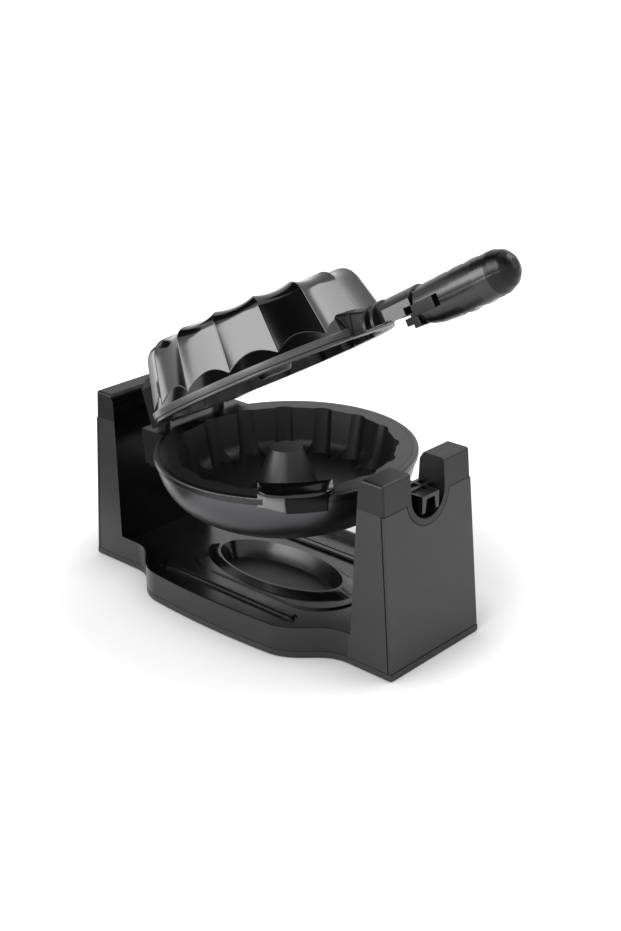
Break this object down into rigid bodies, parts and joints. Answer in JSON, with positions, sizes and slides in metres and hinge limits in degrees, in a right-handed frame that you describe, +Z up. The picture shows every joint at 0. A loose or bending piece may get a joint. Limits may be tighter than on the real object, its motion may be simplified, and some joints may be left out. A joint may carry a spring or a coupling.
{
  "type": "cake maker",
  "caption": "Electric mini cake maker: a fluted round cooker with a hinged lid that turns over on a shaft between two pillars of a tray-shaped stand",
  "frame": {"origin": "on the table, under the middle of the stand", "axes": "X runs along the stand from the hinge side to the handle side, -Y is the front, +Z is up"},
  "size_m": [0.4382, 0.2314, 0.357],
  "materials": {
    "stand_plastic": "fine-textured dark grey",
    "feet_rubber": "matte",
    "screw_steel": "plain",
    "gland_rubber": "matte",
    "pale_plastic": "plain",
    "bearing_plastic": "smooth",
    "bowl_metal": "satin grey",
    "black_plastic": "satin black",
    "coated_plate": "dark non-stick coating",
    "heater_steel": "plain",
    "pin_steel": "plain",
    "grey_plastic": "satin",
    "lid_gloss": "gloss black",
    "rim_grey": "satin black",
    "handle_plastic": "satin black"
  },
  "bodies": {
    "stand": {"base_housing": "stand_plastic", "left_end_cover": "stand_plastic", "right_end_cover": "stand_plastic", "left_pillar_cap": "stand_plastic", "right_pillar_cap": "stand_plastic", "bottom_cover": "stand_plastic", "rubber_feet": "feet_rubber", "base_screws": "screw_steel", "cord_gland": "gland_rubber", "terminal_block": "pale_plastic", "trunnion_bearing": "bearing_plastic", "shaft_cradle": "bearing_plastic"},
    "cooker": {"lower_housing": "bowl_metal", "lower_rim_ring": "black_plastic", "lower_plate": "coated_plate", "lower_heater": "heater_steel", "thermostat": "heater_steel", "thermal_fuse": "heater_steel", "lower_hinge_bracket": "black_plastic", "hinge_pin": "pin_steel", "trunnion_shaft": "pin_steel", "trunnion_clip": "screw_steel", "hub_screws": "screw_steel", "lower_half_shaft": "black_plastic", "latch_housing": "grey_plastic"},
    "lid": {"lid_housing": "lid_gloss", "lid_rim_ring": "rim_grey", "upper_plate": "coated_plate", "upper_heater": "heater_steel", "upper_plate_screws": "screw_steel", "upper_hinge_bracket": "black_plastic", "handle_bracket": "black_plastic", "handle_neck": "handle_plastic", "neck_screws": "screw_steel", "grip_upper": "handle_plastic", "grip_lower": "handle_plastic", "grip_screws": "screw_steel"},
    "lock_slider": {"lock_slider": "handle_plastic"},
    "plate_latch": {"plate_latch": "black_plastic"}
  },
  "joints": [
    {"name": "cooker_flip", "type": "hinge", "parent": "stand", "child": "cooker", "pos_m": [0, 0, 0.147], "axis": [1, 0, 0], "range_deg": [-90, 90]},
    {"name": "lid_hinge", "type": "hinge", "parent": "cooker", "child": "lid", "pos_m": [-0.1053, 0, 0.1608], "axis": [0, -1, 0], "range_deg": [-29.9, 30]},
    {"name": "lock_slide", "type": "slide", "parent": "lid", "child": "lock_slider", "axis": [-0.8669, 0, -0.4985], "range_m": [0, 0.0055]},
    {"name": "latch_slide", "type": "slide", "parent": "cooker", "child": "plate_latch", "axis": [0.7193, -0.6947, 0], "range_m": [0, 0.0035], "stiffness_N_per_m": 400}
  ]
}
